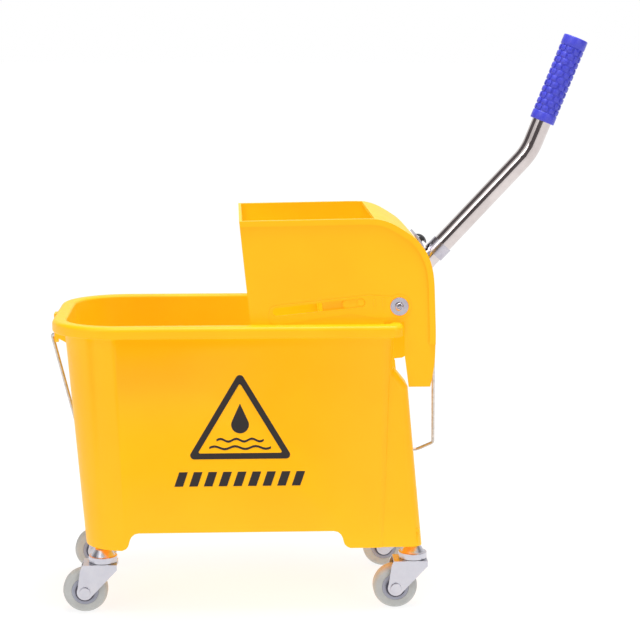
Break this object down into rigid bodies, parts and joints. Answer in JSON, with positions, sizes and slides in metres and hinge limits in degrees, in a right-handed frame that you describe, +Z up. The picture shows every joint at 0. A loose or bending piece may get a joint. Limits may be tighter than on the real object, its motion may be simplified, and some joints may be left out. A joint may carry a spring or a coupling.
{
  "type": "mop bucket with wringer",
  "caption": "Rolling mop bucket on swivel casters with a lift-off press wringer, worked by a bent handle with a ribbed grip, and a wire bail.",
  "frame": {"origin": "on the floor, under the middle of the whole object's box", "axes": "+X towards the handle end, +Y towards the side the bail hangs on, +Z up"},
  "size_m": [0.6129, 0.264, 0.6431],
  "materials": {
    "yellow_moulding": "moulded polypropylene, satin",
    "zinc_wire": "zinc-plated wire",
    "bright_steel": "bright zinc plate",
    "spring_steel": "oiled spring steel",
    "white_nylon": "moulded nylon",
    "dark_steel": "black painted steel",
    "chrome_tube": "polished chromed tube",
    "black_plastic": "black moulded cap",
    "blue_grip": "soft vinyl grip",
    "zinc_plate": "zinc-plated pressed steel",
    "grey_plastic": "grey moulded plastic",
    "grey_tyre": "grey non-marking rubber"
  },
  "bodies": {
    "tub_body": {"tub": "yellow_moulding", "fn_stem": "zinc_plate", "ff_stem": "zinc_plate", "rn_stem": "zinc_plate", "rf_stem": "zinc_plate"},
    "bail_body": {"bail": "zinc_wire"},
    "wringer": {"wringer_housing": "yellow_moulding", "pivot_rod": "bright_steel", "pivot_washer_near": "bright_steel", "pivot_washer_far": "bright_steel", "pivot_nut": "bright_steel", "return_spring": "spring_steel", "pinion_pin_near": "bright_steel", "pinion_pin_far": "bright_steel"},
    "handle": {"handle_yoke": "dark_steel", "handle_tube": "chrome_tube", "handle_saddle": "bright_steel", "saddle_cap": "black_plastic", "grip": "blue_grip"},
    "pinion_near_body": {"pinion_near": "white_nylon"},
    "pinion_far_body": {"pinion_far": "white_nylon"},
    "press": {"press_plate": "yellow_moulding", "shoe_near": "yellow_moulding", "shoe_far": "yellow_moulding"},
    "fn_swivel": {"fn_fork": "zinc_plate", "fn_axle": "zinc_plate", "fn_guard": "grey_plastic"},
    "fn_wheel": {"fn_hub": "grey_plastic", "fn_tyre": "grey_tyre"},
    "ff_swivel": {"ff_fork": "zinc_plate", "ff_axle": "zinc_plate", "ff_guard": "grey_plastic"},
    "ff_wheel": {"ff_hub": "grey_plastic", "ff_tyre": "grey_tyre"},
    "rn_swivel": {"rn_fork": "zinc_plate", "rn_axle": "zinc_plate", "rn_guard": "grey_plastic"},
    "rn_wheel": {"rn_hub": "grey_plastic", "rn_tyre": "grey_tyre"},
    "rf_swivel": {"rf_fork": "zinc_plate", "rf_axle": "zinc_plate", "rf_guard": "grey_plastic"},
    "rf_wheel": {"rf_hub": "grey_plastic", "rf_tyre": "grey_tyre"}
  },
  "joints": [
    {"name": "bail_swing", "type": "hinge", "parent": "tub_body", "child": "bail_body", "pos_m": [-0.09468, 0, 0.302], "axis": [1, 0, 0], "range_deg": [0, 63]},
    {"name": "wringer_lift", "type": "slide", "parent": "tub_body", "child": "wringer", "axis": [0, 0, 1], "range_m": [0, 0.2]},
    {"name": "handle_press", "type": "hinge", "parent": "wringer", "child": "handle", "pos_m": [0.08522, 0, 0.347], "axis": [0, 1, 0], "range_deg": [0, 65], "stiffness_Nm_per_rad": 5, "springref_deg": -40.11},
    {"name": "press_slide", "type": "slide", "parent": "wringer", "child": "press", "axis": [-0.9945, 0, -0.1045], "range_m": [0, 0.0562]},
    {"name": "pinion_near_spin", "type": "hinge", "parent": "wringer", "child": "pinion_near_body", "pos_m": [0.02936, 0, 0.37925], "axis": [0, 1, 0], "range_deg": [-215, 0]},
    {"name": "pinion_far_spin", "type": "hinge", "parent": "wringer", "child": "pinion_far_body", "pos_m": [0.02936, 0, 0.37925], "axis": [0, 1, 0], "range_deg": [-215, 0]},
    {"name": "fn_swivel_turn", "type": "hinge", "parent": "tub_body", "child": "fn_swivel", "pos_m": [-0.24518, -0.083, 0.055], "axis": [0, 0, 1], "continuous": true},
    {"name": "fn_wheel_roll", "type": "hinge", "parent": "fn_swivel", "child": "fn_wheel", "pos_m": [-0.26518, -0.083, 0.025], "axis": [0, 1, 0], "continuous": true},
    {"name": "ff_swivel_turn", "type": "hinge", "parent": "tub_body", "child": "ff_swivel", "pos_m": [-0.24518, 0.083, 0.055], "axis": [0, 0, 1], "continuous": true},
    {"name": "ff_wheel_roll", "type": "hinge", "parent": "ff_swivel", "child": "ff_wheel", "pos_m": [-0.26518, 0.083, 0.025], "axis": [0, 1, 0], "continuous": true},
    {"name": "rn_swivel_turn", "type": "hinge", "parent": "tub_body", "child": "rn_swivel", "pos_m": [0.10382, -0.083, 0.055], "axis": [0, 0, 1], "continuous": true},
    {"name": "rn_wheel_roll", "type": "hinge", "parent": "rn_swivel", "child": "rn_wheel", "pos_m": [0.08382, -0.083, 0.025], "axis": [0, 1, 0], "continuous": true},
    {"name": "rf_swivel_turn", "type": "hinge", "parent": "tub_body", "child": "rf_swivel", "pos_m": [0.10382, 0.083, 0.055], "axis": [0, 0, 1], "continuous": true},
    {"name": "rf_wheel_roll", "type": "hinge", "parent": "rf_swivel", "child": "rf_wheel", "pos_m": [0.08382, 0.083, 0.025], "axis": [0, 1, 0], "continuous": true}
  ],
  "couplings": [
    {"joint": "press_slide", "follows": "handle_press", "m_per_rad": 0.0495},
    {"joint": "pinion_near_spin", "follows": "handle_press", "ratio": -3.3},
    {"joint": "pinion_far_spin", "follows": "handle_press", "ratio": -3.3}
  ]
}
